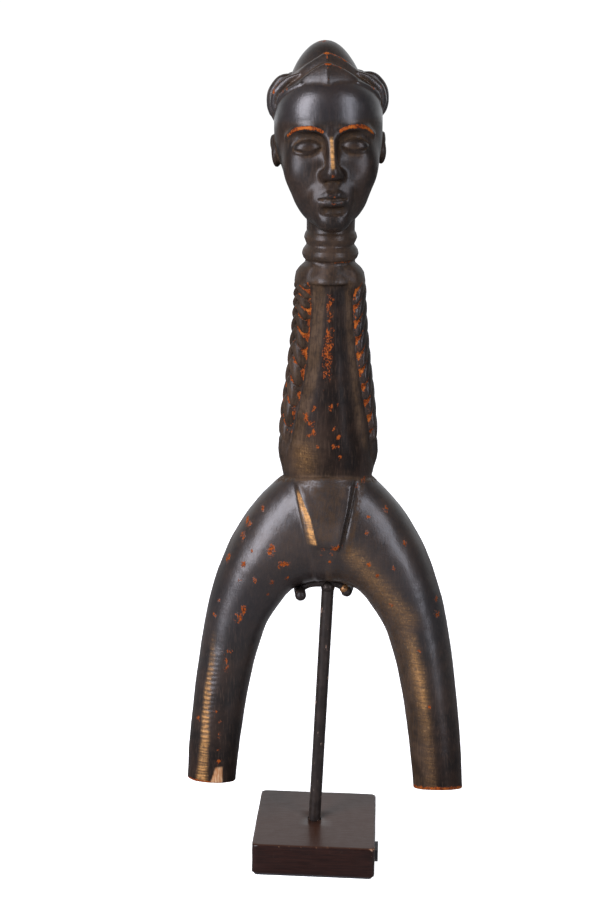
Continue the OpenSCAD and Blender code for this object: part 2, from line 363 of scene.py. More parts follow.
def torso_angle(p):
    """Angle round the torso from its own front, in degrees, positive on the right."""
    h = p[:, 2]
    forward = TORSO_Y - p[:, 1]
    around = np.arctan2(p[:, 0] / ramp(h, TORSO_HALF), forward / ramp(h, TORSO_DEPTH))
    return (np.degrees(around) - TORSO_TURN + 180) % 360 - 180


def braid_place(p):
    """Angle, and the place across a braid from -1 at its front edge to 1 at its back edge."""
    angle = torso_angle(p)
    return angle, 2 * (np.abs(angle) - ramp(p[:, 2], BRAID_FRONT)) / BRAID_SPAN - 1


def strand(turns, along, middle, reach):
    """Round back of a strand, from a count of turns and the place along it. Its ends are round."""
    off = 2 * np.abs(turns % 1 - 0.5)
    width = np.sqrt(np.clip(1 - (np.abs(along - middle) / reach) ** 4, 0.0004, 1))
    return np.sqrt(np.clip(1 - 0.97 * (off / width) ** 2, 0, 1))


def braid_lobes(p):
    """Height of the twisted strands above the torso, 0 to 1."""
    h = p[:, 2]
    angle, q = braid_place(p)
    # right: a rope of fat strands that rise outwards
    rope = strand((h - 4.6 * q + 0.4) / 4.92, q, 0.05, 1.2)
    # left: a plait of two rows of strands that meet in a fold, longer towards the waist
    fold = np.abs(q + 0.05)
    pitch = ramp(h, [(45, 7.0), (60, 6.6), (75, 6.2), (85, 5.6), (96, 4.6)])
    turns = (h - 50) / pitch + 0.95 * fold + 0.1
    plait = np.maximum(strand(turns, q, -0.52, 0.54), strand(turns, q, 0.50, 0.60))
    return np.where(angle < 0, plait, rope)


def braid_mask(p):
    h = p[:, 2]
    q = braid_place(p)[1]
    return step(1.08, 0.92, np.abs(q)) * window(h, 44.5, 48, 95.5, 97.5)


def channel(p):
    """Depth of the hollow beside each braid, 0 to 1. The left one is steeper on its outer side."""
    h = p[:, 2]
    angle = torso_angle(p)
    left_wide = ramp(h, [(45, 12), (60, 14), (92, 20)])
    left = one_sided(-angle, ramp(h, LEFT_CHANNEL), left_wide, 7.0)
    right = 0.75 * one_sided(angle, ramp(h, RIGHT_CHANNEL), 13.0, 14.0)
    return np.where(angle < 0, left, right)


def torso(p):
    x, y, h = p.T
    sides = BRAID_BUMP * step(36, 43, h)
    field = oval(x, y - TORSO_Y, ramp(h, TORSO_HALF) - sides, ramp(h, TORSO_DEPTH))
    angle, q = braid_place(p)
    turn = np.abs(angle)
    crown = np.clip(1 - (np.abs(q) / 1.12) ** 6, 0, 1) ** 0.5
    braid = BRAID_BUMP * braid_mask(p) * crown * (0.12 + 0.98 * braid_lobes(p))
    flutes = 0.8 * channel(p) * window(h, 40, 50, 94, 98)
    band = 0.12 * step(9, 5, turn) * window(h, 60, 74, 93, 97)
    belly = 0.5 * bell(h, 47, 9) * bell(angle, 0, 34)
    spine = 0.5 * bell(turn, 180, 9) * window(h, 40, 50, 90, 98)
    # the braids end in a smooth fin above the waist, and rise into the shoulders
    fin_front = ramp(h, [(35, 84), (38, 76), (42, 66), (48, 61)])
    fin = sides * step(50.5, 46, h) * step(fin_front, fin_front + 9, turn) * step(140, 120, turn)
    shoulder = BRAID_BUMP * step(90.5, 97, h) * window(turn, 17, 44, 120, 150)
    field = field - np.maximum.reduce([braid, fin, shoulder]) - band - belly + flutes + spine
    field = soft_max(field, h - 102.2, 2.6)
    return soft_max(field, 30.0 - h, 1.0)


NECK_ROWS = [(94, 8.2), (96.1, 8.8), (96.5, 9.8), (97.4, 9.8), (99.3, 8.7), (100.9, 8.0),
             (102.0, 7.5), (102.8, 7.7), (103.4, 8.3), (104.6, 8.75), (105.8, 8.5), (106.9, 7.7),
             (107.5, 7.3), (108.2, 7.6), (109.6, 8.15), (110.8, 7.8), (111.6, 7.3), (118, 7.4), (126, 8.5)]


def neck_level(p):
    """Height along the neck, whose rings tip a little forward."""
    return p[:, 2] - 0.07 * (p[:, 1] - 1)


def neck(p):
    x, y, h = p.T
    radius = ramp(neck_level(p), NECK_ROWS)
    field = np.hypot(x, (y - 1.2) * 0.96) - radius
    field = soft_max(field, 92 - h, 2)
    return soft_max(field, h - 124, 2)


# The head has its own frame: origin at chin height near the neck's axis, turned and leaning a little.
HEAD_TURN = math.radians(5)
HEAD_LEAN = math.radians(-2.2)
HEAD_ROTATION = np.array(Matrix.Rotation(HEAD_TURN, 3, "Z") @ Matrix.Rotation(HEAD_LEAN, 3, "Y"))
HEAD_PLACE = np.array([0.0, 1.0, CHIN_H])


def brow(s):
    """The brow of one side: -1 for the left, 1 for the right."""
    return Tube([(s * 1.6, -17.7, 28.0), (s * 4.2, -17.6, 29.3), (s * 7.4, -16.6, 29.8),
                 (s * 10.4, -14.9, 29.3), (s * 12.9, -12.4, 27.4)], [0.5, 0.75, 0.8, 0.7, 0.3])


LEFT_BROW, RIGHT_BROW = both_sides(brow)


def head_parts():
    """Parts of the bare head, most with the radius of their blend.

    The face follows plain drawing-book proportions: thirds from chin to hairline.
    """
    skull = [
        (Ellipsoid((0, 2.5, 31), (16.0, 16.5, 17.5)), 7.0),
        (Ellipsoid((0, -4.5, 25), (15.2, 13.4, 20.5)), 5.0),
        (Ellipsoid((0, -8.8, 10), (9.6, 8.0, 9.8)), 7.0),
        (Ellipsoid((0, 0.5, 12), (9.2, 9.5, 9)), 5.0),
        (Ellipsoid((0, -7, 35.5), (14.4, 11.2, 9.5)), 5.0),
    ]
    for s in (-1, 1):
        skull.append((Ellipsoid((s * 8.6, -11.2, 18.4), (4.6, 4.2, 6.4)), 4.5))
    sockets = both_sides(lambda s: Ellipsoid((s * 7.0, -19.2, 25.0), (6.2, 3.6, 4.3)))
    features = []
    for s, brow_tube in ((-1, LEFT_BROW), (1, RIGHT_BROW)):
        lid = Ellipsoid((s * 6.7, -15.2, 24.2), (4.3, 2.5, 2.5), (0, s * 4, 0))
        wing = Ellipsoid((s * 2.1, -18.2, 16.1), (1.4, 2.2, 1.5), (0, 0, s * 12))
        features += [(brow_tube, 1.4), (lid, 0.6), (wing, 1.8)]
    features += [
        (Tube([(0, -17.0, 28.2), (0, -19.0, 22.5), (0, -20.9, 17.4)], [1.3, 1.5, 2.0]), 2.2),
        (Ellipsoid((0, -20.8, 16.6), (2.1, 1.9, 1.8)), 1.4),
        (Ellipsoid((0, -15.9, 8.9), (5.8, 2.2, 4.2)), 3.0),
        (Ellipsoid((0, -14.6, 2.6), (4.6, 3.6, 3.2)), 4.0),
    ]
    for s in (-1, 1):
        upper = Tube([(0, -18.1, 10.1), (s * 1.5, -18.2, 10.4), (s * 4.4, -16.4, 9.3)], [1.0, 1.1, 0.5])
        lower = Tube([(0, -17.7, 8.0), (s * 2.0, -17.5, 8.1), (s * 4.2, -16.2, 8.9)], [1.45, 1.35, 0.5])
        features += [(upper, 1.3), (lower, 1.3)]
    grooves = [
        (Tube([(-4.7, -17.2, 9.2), (-2, -18.9, 9.2), (0, -19.3, 9.15), (2, -18.9, 9.2),
               (4.7, -17.2, 9.2)], [0.12, 0.28, 0.3, 0.28, 0.12]), 0.4),
        (Tube([(0, -19.9, 13.8), (0, -19.6, 12.2)], [0.4, 0.5]), 1.8),
        (Tube([(-2.4, -17.8, 5.9), (0, -18.3, 5.8), (2.4, -17.8, 5.9)], [0.4, 0.5, 0.4]), 2.2),
    ]
    for s in (-1, 1):
        slit = Tube([(s * 2.8, -16.6, 23.9), (s * 4.8, -17.6, 22.9), (s * 7, -17.8, 22.6),
                     (s * 9.2, -16.8, 22.9), (s * 11, -15.0, 23.9)], [0.2, 0.5, 0.55, 0.5, 0.2])
        fold = Tube([(s * 2.8, -16.6, 25.2), (s * 4.8, -17.1, 26.6), (s * 7, -16.9, 27.0),
                     (s * 9.2, -15.8, 26.5), (s * 11, -14.2, 25.0)], [0.1, 0.3, 0.35, 0.3, 0.1])
        nostril = Ellipsoid((s * 1.6, -19.0, 14.0), (0.8, 1.2, 0.5))
        grooves += [(slit, 0.5), (fold, 0.7), (nostril, 0.7)]
    ears = []
    for s in (-1, 1):
        ears.append((Ellipsoid((s * 15.6, 1.2, 23.0), (1.5, 2.9, 4.7), (-10, 0, s * 24)), 1.2))
        ears.append((Tube([(s * 15.6, -0.6, 20.5), (s * 16.2, -0.9, 24.5), (s * 16.6, 1.4, 27.4),
                           (s * 16.9, 3.6, 25.0), (s * 16.0, 2.8, 20.2)], [0.5, 0.7, 0.7, 0.7, 0.6]), 0.5))
    return skull, sockets, features, grooves, ears


# Upper edges of the two stepped bands of hair over the forehead, as (sideways, height)
LOW_EDGE = [(-15.5, 37.0), (-13.5, 38.4), (-11.4, 40.5), (-7.2, 43.5), (-4.2, 45.5), (-1, 47.0),
            (0.5, 46.9), (4.5, 45.2), (8.8, 42.4), (13, 40.8), (15.4, 39.0), (17, 37)]
HIGH_EDGE = [(-13, 44.2), (-9.8, 45.7), (-6.4, 48.0), (-2.9, 49.9), (-0.5, 51.2), (1.9, 50.4),
             (4.9, 48.8), (8.8, 46.2), (13, 44.6)]

# Rolled locks of the right side, from the front backwards, and their radii. The left is their mirror.
SIDE_LOCKS = [
    ([(8.2, -12.6, 42.2), (11.4, -10.6, 40.5), (13.6, -8.4, 38.6), (13.9, -7.6, 36.6), (12.8, -8.6, 35.6)],
     [0.8, 1.2, 1.5, 1.5, 1.2]),
    ([(8.6, -8.4, 45.0), (12.0, -7.4, 43.4), (15.0, -6.0, 40.6), (15.8, -4.9, 37.4), (15.2, -4.8, 35.0)],
     [0.8, 1.3, 1.6, 1.6, 1.3]),
    ([(9.4, -3.4, 43.4), (11.6, -3.8, 44.3), (14.1, -3.4, 43.4), (16.3, -2.2, 40.4), (16.7, -1.2, 37.0),
      (16.3, -0.8, 34.8), (15.5, -0.6, 33.2)], [0.9, 1.4, 1.6, 1.7, 1.6, 1.4, 1.0]),
    ([(8.6, 1.6, 44.2), (12.0, 1.8, 44.3), (14.9, 2.8, 41.4), (16.0, 4.2, 37.0), (15.4, 4.6, 33.6),
      (14.4, 4.4, 31.4)], [1.0, 1.5, 1.8, 1.8, 1.5, 1.1]),
    ([(7.4, 6.2, 46.0), (11.2, 7.4, 44.4), (14.0, 9.0, 39.4), (14.4, 9.8, 33.6), (13.2, 9.6, 27.4),
      (11.6, 8.8, 23.4)], [1.0, 1.6, 1.9, 1.9, 1.7, 1.2]),
    ([(5.2, 10.6, 46.6), (8.2, 12.4, 42.4), (10.4, 14.0, 36.8), (10.4, 14.4, 30.6), (9.0, 13.4, 24.6),
      (7.6, 12.0, 20.8)], [1.0, 1.6, 2.0, 2.0, 1.7, 1.2]),
    ([(2.2, 13.4, 44.8), (3.6, 15.8, 40.0), (4.2, 17.2, 34.0), (3.8, 16.8, 27.6), (3.0, 14.8, 21.8),
      (2.6, 12.8, 18.6)], [1.0, 1.7, 2.0, 2.0, 1.7, 1.2]),
]

# Lower edge of the hair, as (place from front to back, height)
HAIRLINE = [(-16, 41.9), (-12.5, 40.6), (-8.5, 37.2), (-5, 33.0), (-1, 29.6), (2, 27.5), (6, 21.0),
            (14, 17.0)]

LOW_BAND = Ellipsoid((0, 1.0, 36.5), (16.8, 17.3, 17.5))
HIGH_BAND = Ellipsoid((0, 1.6, 38.5), (13.4, 15.7, 16.5))
DOME = Ellipsoid((-0.4, 1.6, 22.2), (14.5, 14.6, 33))
HAIR_BACK = [(Ellipsoid((0, 8.5, 37), (13.6, 9.2, 13.5)), 2.0),
             (Ellipsoid((0, 8.5, 27), (12.0, 7.4, 12.0)), 3.0)]
HAIR_SIDES = both_sides(lambda s: Ellipsoid((s * 12.4, 0.2, 38.6), (4.4, 7.4, 6.4)))
LOCKS = [Tube([(s * x, y, z) for x, y, z in line], radii)
         for line, radii in SIDE_LOCKS for s in (-1, 1)]

SKULL, SOCKETS, FEATURES, GROOVES, EARS = head_parts()


def into_head(p):
    return (p - HEAD_PLACE) @ HEAD_ROTATION


def head(p):
    q = into_head(p)
    field = np.full(len(q), FAR)
    for part, k in SKULL:
        join(field, q, part, k)
    for part in SOCKETS:
        carve(field, q, part, 1.6)
    for part, k in FEATURES:
        join(field, q, part, k)
    for part, k in GROOVES:
        carve(field, q, part, k)
    for part, k in EARS:
        join(field, q, part, k)
    return soft_min(field, hair_field(q), 0.35)


def hair_field(q):
    """The dome, the stepped bands over the forehead, the back and the rolled locks."""
    x, y, z = q.T
    hair = DOME(q)
    keel = 0.7 * np.exp(-np.abs(x + 0.3) / 2.2) * step(4, -6, y)
    for band, edge in ((HIGH_BAND, HIGH_EDGE), (LOW_BAND, LOW_EDGE)):
        over_edge = z - ramp(x, edge) - 0.30 * np.maximum(-y - 8, 0)
        terrace = soft_max(band(q) - keel, over_edge * 0.85, 0.7)
        hair = soft_min(hair, soft_max(terrace, y - 6, 4), 0.35)
    for part, k in HAIR_BACK:
        join(hair, q, part, k)
    for part in HAIR_SIDES:
        join(hair, q, part, 1.0)
    for part in LOCKS:
        join(hair, q, part, 0.45)
    # the hair ends along the hairline and above the ears
    return soft_max(hair, ramp(y, HAIRLINE) - z, 0.6)


def carving(p):
    """Distance to the surface of the carving, in millimetres, below 0 inside."""
    field = np.full(len(p), FAR)
    h = p[:, 2]
    for low, high, part, k in ((-90, 44, fork, 0.5), (28, 106, torso, 0.6), (90, 126, neck, 1.0),
                               (104, 175, head, 1.2)):
        i = np.flatnonzero((h > low) & (h < high))
        if len(i):
            field[i] = soft_min(field[i], part(p[i]), k)
    i = np.flatnonzero(h < -40)
    if len(i):
        field[i] = soft_max(field[i], cut_planes(p[i]), 0.7)
    field = field - 0.1 * surface_waves(p) - 0.04 * surface_ripples(p)
    i = np.flatnonzero((h < -4) & (p[:, 0] < 0))
    if len(i):
        field[i] = field[i] - ribs(p[i])
    return field


# --------------------------------------------------------------- from field to mesh

VOXEL = 0.42
BLOCK = 4
CHUNK = 200000
GRID_LOW = np.array([-50.0, -27.0, -72.0])
GRID_HIGH = np.array([50.0, 26.0, 171.0])


def in_chunks(function, p):
    return np.concatenate([function(p[i:i + CHUNK]) for i in range(0, len(p), CHUNK)])


def surface_of(function, low, high, voxel):
    """Triangle-free mesh of a field's zero level: points and four-cornered faces."""
    wide = voxel * BLOCK
    cells = np.ceil((high - low) / wide).astype(int)
    index = np.stack(np.meshgrid(*[np.arange(n) for n in cells], indexing="ij"), -1).reshape(-1, 3)
    coarse = in_chunks(function, low + (index + 0.5) * wide)
    outside = np.where(coarse > 0, 1.0, -1.0).reshape(cells).astype(np.float32) * wide
    for axis in range(3):
        outside = np.repeat(outside, BLOCK, axis=axis)
    close = index[np.abs(coarse) < wide * 0.95 + 0.6]
    offsets = np.stack(np.meshgrid(*[np.arange(BLOCK)] * 3, indexing="ij"), -1).reshape(-1, 3)
    fine = (close[:, None, :] * BLOCK + offsets[None]).reshape(-1, 3)
    outside[fine[:, 0], fine[:, 1], fine[:, 2]] = in_chunks(function, low + (fine + 0.5) * voxel)
    grid = openvdb.FloatGrid(wide)
    grid.copyFromArray(outside)
    points, quads = grid.convertToQuads(isovalue=0.0)
    return low + (np.asarray(points, float) + 0.5) * voxel, np.asarray(quads)


def slope(function, p, reach=0.05):
    """Unit direction in which the field grows."""
    g = np.stack([function(p + reach * axis) - function(p - reach * axis) for axis in np.eye(3)], 1)
    return g / np.maximum(np.linalg.norm(g, axis=1, keepdims=True), 1e-9)


def settle(p):
    """Moves points onto the zero level and returns them with the outward directions."""
    n = slope(carving, p)
    for _ in range(2):
        p = p - np.clip(carving(p), -0.3, 0.3)[:, None] * n * 0.9
    return np.hstack([p, slope(carving, p)])


def to_world(p):
    """From the carving's own frame to metres in the shared frame."""
    turn = np.array(Matrix.Rotation(FIGURE_LEAN, 3, "Y"))
    return (p @ turn.T + np.array([FIGURE_X, 0, ARCH_Z])) * MM


def new_object(name, data):
    obj = bpy.data.objects.new(name, data)
    bpy.context.scene.collection.objects.link(obj)
    return obj


def mesh_object(name, points, faces):
    mesh = bpy.data.meshes.new(name)
    mesh.from_pydata(points.tolist(), [], faces.tolist())
    mesh.validate()
    mesh.shade_smooth()
    return new_object(name, mesh)


def set_layer(obj, name, values):
    layer = obj.data.attributes.new(name, "FLOAT", "POINT")
    layer.data.foreach_set("value", np.ascontiguousarray(values, np.float32))


def build_carving():
    points, faces = surface_of(carving, GRID_LOW, GRID_HIGH, VOXEL)
    settled = in_chunks(settle, points)
    points, normals = settled[:, :3], settled[:, 3:]
    obj = mesh_object("carved_figure_wood", to_world(points), faces[:, ::-1])
    for name, values in wear_layers(points, normals, faces).items():
        set_layer(obj, name, values)
    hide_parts("carved_figure")
    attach(obj, "figure")
    return obj


# Places where the patina has chipped off the front, as (sideways, height, size)
CHIPS = [(-24.8, 20, 1.5), (-26.1, 15.8, 1.3), (-31.1, 8, 1.4), (-20.1, 24.9, 0.9), (-26, 7.5, 0.9),
         (-22, 2.4, 1.1), (-26.7, 2.2, 0.7), (-16.7, 12.3, 2.0), (-14, 7.8, 1.4), (-11.7, 8.3, 1.2),
         (-16.6, 1.5, 0.9), (-12.1, 3, 0.9), (-18, -2.4, 0.8), (-23.1, 11.7, 0.8), (-25.7, -7.2, 1.2),
         (-27.3, -10.3, 1.6), (-34.1, -6, 0.8), (-35.5, -10.6, 0.9), (-30.3, -21.8, 1.2),
         (-31.7, -24.6, 1.2), (-31.3, -27.4, 1.2), (-32.4, -23, 0.9), (-35, -42, 1.0), (-33.3, -45.4, 0.8),
         (-33.5, -50, 0.8), (-33.6, -54.5, 0.8), (-33.5, -58.5, 0.8), (-40.5, -45, 0.9),
         (18.6, 25.7, 0.9), (24.9, 15.3, 1.0), (21.6, 7.6, 0.9), (16.5, 5.3, 0.8), (13.7, 8.7, 0.8),
         (35.4, -8.6, 1.4), (35.3, -3.8, 0.8), (30.3, -19.8, 0.9), (33.8, -38.2, 0.8), (21, -4.9, 0.8),
         (11.5, 35, 0.8), (13.1, 23.8, 0.8), (12.8, 19, 0.8), (9.5, 33, 0.8),
         (-6.4, 55, 1.3), (-4.8, 53.3, 1.2), (-4, 57.7, 0.8), (-5.6, 49.3, 0.8), (-3.9, 50.4, 1.0),
         (1.1, 58.3, 0.9), (3.1, 59.2, 0.6), (2.3, 51.7, 0.7), (3.7, 49.1, 0.8), (2.4, 46.1, 1.0),
         (3.5, 46.4, 0.8), (4.2, 42.8, 0.7), (-2.6, 46, 0.6), (-0.6, 13.2, 1.0), (2.9, 14.4, 1.4),
         (2.2, 12.0, 0.9), (1.4, 9.2, 0.8), (-1.2, 11.2, 0.8), (4.3, 14.6, 0.9)]


def leg_place(p):
    """Place across the fork from -1 on its inner edge to 1 on its outer edge."""
    from_outer, from_inner = fork_outline(np.abs(p[:, 0] - fork_shift(p[:, 2])), p[:, 2])
    return (from_inner - from_outer) / np.maximum(from_inner + from_outer, 1)


def bends(points, normals, faces, rounds):
    """Curvature of the mesh in 1/mm, above 0 on ridges and below 0 in hollows, smoothed."""
    starts, ends = np.concatenate([faces[:, [i, (i + 1) % 4]] for i in range(4)]).T
    away = points[ends] - points[starts]
    rise = -2 * (away * normals[starts]).sum(axis=1) / np.maximum((away ** 2).sum(axis=1), 1e-4)
    count = np.maximum(np.bincount(starts, minlength=len(points)), 1)
    value = np.clip(np.bincount(starts, rise, len(points)) / count, -3, 3)
    for _ in range(rounds):
        value = 0.4 * value + 0.6 * np.bincount(starts, value[ends], len(points)) / count
    return value


def chipped_spots(x, h):
    value = np.zeros(len(x))
    for cx, ch, size in CHIPS:
        away = ((x - cx) ** 2 + (0.75 * (h - ch)) ** 2) / (size * 1.35) ** 2
        value = np.maximum(value, 0.62 * np.exp(-away))
    return value


def braid_wear(p):
    """Bare wood of the braids: valleys between the strands on their front half, and outer crests."""
    h = p[:, 2]
    angle, q = braid_place(p)
    lobes = braid_lobes(p)
    valley = step(0.80, 0.35, lobes)
    inner = window(q, -1.16, -1.02, -0.3, 0.15)
    gaps = step(0.88, 0.46, lobes) * inner
    left = gaps * (0.66 + 0.26 * np.sin(0.95 * h + 0.5))
    left = left + 0.16 * plateau(q, -1.0, 0.12) * step(66, 76, h)
    left = np.maximum(left, 0.60 * plateau(q, -0.05, 0.14) * (0.6 + 0.4 * np.sin(1.3 * h)))
    right = np.maximum(0.84 * valley * inner, 0.42 * plateau(q, -1.02, 0.10))
    right = np.maximum(right, 0.42 * plateau(q, 0.42, 0.08) * lobes)
    rim = 0.45 * window(q, 0.45, 0.6, 0.85, 1.0) * step(0.55, 0.85, lobes)
    return np.maximum(np.where(angle < 0, left, right), rim) * window(h, 46, 51, 96, 97.5)


def torso_strip(p):
    """Speckled strip of bare wood down the middle of the torso, sharp on its left."""
    h = p[:, 2]
    angle = torso_angle(p)
    left_edge = ramp(h, [(60, -11), (66, -12), (72, -15), (79, -14), (81, -9.8), (95, -9.3)])
    share = ramp(h, [(60, 0.05), (66, 0.36), (71, 0.54), (80, 0.62), (84, 0.46), (90, 0.64), (94, 0.4)])
    share = share * (1 - 0.30 * step(-6, 2, angle)) * step(94.5, 92.5, h)
    return share * window(angle, left_edge - 0.6, left_edge + 0.2, 2.2, 4.2)


def head_wear(q, ridge):
    """Bare wood on the crests of the hair, the brows and the nose."""
    x, y, z = q.T
    hair = step(36, 42, z)
    apex = 0.66 * bell(x, 0.3, 3.2) + 0.60 * bell(x, 5.0, 3.0) * step(45, 48, z)
    sides = 0.40 * step(9.5, 13, np.abs(x)) * step(9, 3, y) * step(46, 40, z)
    crest = step(0.18, 0.6, ridge) * hair * (0.14 + apex * step(4, -4, y) + sides)
    top = 0.6 * step(53.2, 54.8, z) * bell(x, -1.5, 3)
    along = RIGHT_BROW.points
    crest_line = np.interp(np.abs(x), along[:, 0], along[:, 2]) + 0.15
    brows = step(1.0, 0.15, np.abs(z - crest_line)) * window(np.abs(x), 1.8, 2.8, 12.2, 13.4)
    brows = 0.96 * brows * step(-8, -10, y)
    lips = 0.36 * step(0.3, 0.8, ridge) * window(z, 7.0, 7.8, 10.4, 11.2) * step(-15, -17, y)
    tip = 0.55 * bell(np.hypot(x, z - 16), 0, 1.4) * step(-20, -21, y)
    return np.maximum.reduce([crest, top, brows, lips, tip])


def leg_gold(p, facing):
    """Golden stripe with knife strokes down the left leg, and a broad brown one down the right leg."""
    x, h = p[:, 0], p[:, 2]
    across = leg_place(p)
    left = x < 0
    stripe_at = ramp(h, [(-65, 0.30), (-51, 0.33), (-39, 0.43), (-26, 0.45), (-16, 0.57)])
    stripe_wide = ramp(h, [(-65, 0.27), (-51, 0.20), (-39, 0.155), (-26, 0.13), (-14, 0.10)])
    wobble = 0.035 * surface_ripples(p)
    strokes = 0.5 + 0.5 * np.sin(rib_phase(p))
    fade = ramp(h, [(-68, 1), (-45, 0.95), (-30, 0.80), (-12, 0.6)]) * step(-10, -24, h)
    narrow = (plateau(across + wobble, stripe_at, stripe_wide) * left * fade
              * (0.62 + 0.38 * strokes) * (0.84 + 0.22 * surface_waves(p)))
    strength = ramp(h, [(-68, 0.36), (-50, 0.42), (-38, 0.62), (-28, 0.70), (-12, 0.48), (4, 0.3)])
    broad = (strength * bell(across + wobble, -0.26, 0.29) * step(6, -8, h) * ~left
             * (0.9 + 0.12 * surface_waves(p)))
    return np.maximum(narrow, broad) * facing


def rubbed_hips(p, facing):
    """Bright bevel on the left of the apron, and a brown rub from the apron down to the right leg."""
    x, h = p[:, 0], p[:, 2]
    from_left, from_foot, _ = apron_places(p)
    bevel = (step(-0.3, 0.7, from_foot) * step(0.5, 0.0, from_left)
             * window(h, APRON_LOW - 0.6, APRON_LOW + 1.2, 29, 34)
             * (0.40 + 0.70 * step(-2.4, -0.6, from_left)))
    start, run = np.array([9.0, 11.5]), np.array([17.5, -21.0])
    off = np.stack([x, h], 1) - start
    t = np.clip(off @ run / (run @ run), 0, 1)
    away = np.hypot(*(off - t[:, None] * run).T)
    return np.maximum(bevel, 0.46 * bell(away, 0, 4.2)) * facing


def film_and_painted_light(p, q, hollow, close):
    """Grey-brown film that is left where hands don't rub, with painted light in the same colour on the
    torso's channel walls facing the left lamp and on the apron panel.
    """
    x, h = p[:, 0], p[:, 2]
    qy, qz = q[:, 1], q[:, 2]
    angle, across_braid = braid_place(p)
    from_left, _, from_right = apron_places(p)
    on_head = step(112, 116, h)

    # On the torso this grey-brown is partly dust in the channels and partly painted light: it lies on the
    # channel walls that face the left lamp.
    film_and_light_edge = ramp(h, [(45, 36), (52, 31), (60, 24), (70, 17), (79, 14), (92, 11)])
    left_flute = step(-1.12, -1.3, across_braid) * step(film_and_light_edge - 2, film_and_light_edge + 5, -angle)
    right_flute = one_sided(angle, ramp(h, RIGHT_CHANNEL) + 9, 6.5, 8) * step(-1.1, -1.2, across_braid)
    flutes = 0.95 * np.where(angle < 0, left_flute, right_flute) * step(90, 70, np.abs(angle))
    left_braid = 0.62 * (angle < 0) * step(1.15, 1.0, np.abs(across_braid)) * braid_lobes(p)
    torso_film_and_light = np.maximum(flutes, left_braid) * window(h, 42, 47, 96, 98.5)

    hollows = 0.8 * hollow * (1 - step(98, 101, h) * (1 - on_head))
    neck_film = 0.46 * window(h, 92, 97, 110, 115) * (1 - 0.6 * hollow)
    head_film = 0.16 * step(35, 42, qz) * (h > 130) + 0.9 * hollow
    head_film = head_film + 0.5 * bell(qz, 26, 5) * step(-8, -14, qy) * hollow

    right_leg = 0.62 * step(0.0, -0.5, leg_place(p)) * (x > 0) * step(14, 0, h)
    waist = 0.9 * bell(h - waist_line(x), -0.2, 0.8)
    waist = waist + 0.42 * step(56, 44, h) * step(34, 37, h) * step(4, -6, x)
    strip = 0.75 * bell(from_right, -2.8, 1.5) * window(h, 6, 14, 34, 36)
    # The extra grey-brown on the apron panel is painted sheen, lightening the flat panel where a soft
    # reflection lies; the rest of the hips film is dust.
    panel_sheen_mask = step(-0.5, 2, from_left) * step(0.5, 3, from_right) * step(14, 18, h)
    hips = (0.26 + 0.34 * panel_sheen_mask) * window(h, -8, 16, 34, 37)
    return np.maximum.reduce([hollows, 0.55 * close, torso_film_and_light, neck_film, head_film * on_head,
                              right_leg, waist, strip, hips])


def polish_mask(p, q):
    """Where hands have polished the patina: the head, the neck rings, the hips and the thighs."""
    h = p[:, 2]
    angle = torso_angle(p)
    qx, qy, qz = q.T
    forehead = window(qz, 29, 33, 41, 43)
    hair = step(41, 43, qz)
    sides = step(9, 12, np.abs(qx)) * step(-12, -9, qy)
    head_gloss = 0.40 + 0.60 * forehead + 0.40 * hair - 0.18 * sides * (1 - forehead)
    hips = 0.92 * step(-75, -5, h)
    braids = 0.01 + 0.06 * bell(angle, 14, 9) + 0.40 * step(34, 44, angle) + 0.3 * step(-44, -60, angle)
    lip = 0.7 * bell(h, 96.8, 0.8) * step(26, 20, np.abs(angle))
    trunk = np.maximum.reduce([braids, lip, 0.16 * step(93, 96, h), 0.45 * step(100, 101, h)])
    return np.where(h > CHIN_H, head_gloss, np.where(h > waist_line(p[:, 0]), trunk, hips))


def wear_layers(p, n, faces):
    """Masks from 0 to 1 on the carving's points: where wood shows, where film and painted light lie."""
    x, h = p[:, 0], p[:, 2]
    q = into_head(p)
    qx, qy, qz = q.T
    bend = bends(p, n, faces, int(2.2 / VOXEL))
    ridge = np.clip(bend * 1.6, 0, 1)
    hollow = np.clip(-bend * 1.6, 0, 1)
    close = np.clip(1 - in_chunks(carving, p + 3.0 * n) / 3.0, 0, 1)
    facing = step(0.1, 0.55, -n[:, 1])

    head_part = h > CHIN_H
    rim_wide = np.where(x < -35, 1.3, np.where(x < 0, 0.5, 1.9))
    rim = step(rim_wide, 0.3 * rim_wide, -cut_planes(p)) * (h < -55)
    groove_line = 0.56 * bell(neck_level(p), 102.9, 0.5) * facing * step(-4, 2, x)
    chips = np.maximum.reduce([chipped_spots(x, h) * facing, braid_wear(p), torso_strip(p) * facing,
                               head_wear(q, ridge) * head_part, 0.8 * rim, groove_line])

    lids = 0.34 * step(0.2, 0.7, ridge) * bell(qz, 24.4, 1.6) * bell(np.abs(qx), 6.4, 3)
    bridge = 0.9 * step(1.1, 0.2, np.abs(qx)) * window(qz, 17, 19, 26, 28)
    on_face = bridge * step(-18.0, -19.0, qy) + lids * step(-15.5, -17, qy)
    dust = 0.46 * bell(h, 42, 7.5) * bell(x, -7, 4.5) * facing
    gold = np.maximum.reduce([leg_gold(p, facing), rubbed_hips(p, facing), on_face * head_part, dust])

    left_edge = ramp(h, [(-66, -36.2), (-60, -34.3)])
    splinter = step(-0.2, 0.2, x - left_edge) * step(-32.2, -32.6, x) * step(-60.2, -61.0, h) * facing
    cut = step(0.5, 0.15, -cut_planes(p)) * (h < -55) * step(-0.6, -0.85, n[:, 2])
    return {"chips": chips * (1 - splinter), "gold": gold, "film_and_light": film_and_painted_light(p, q, hollow, close),
            "cut": np.maximum(cut, splinter), "polish": polish_mask(p, q)}


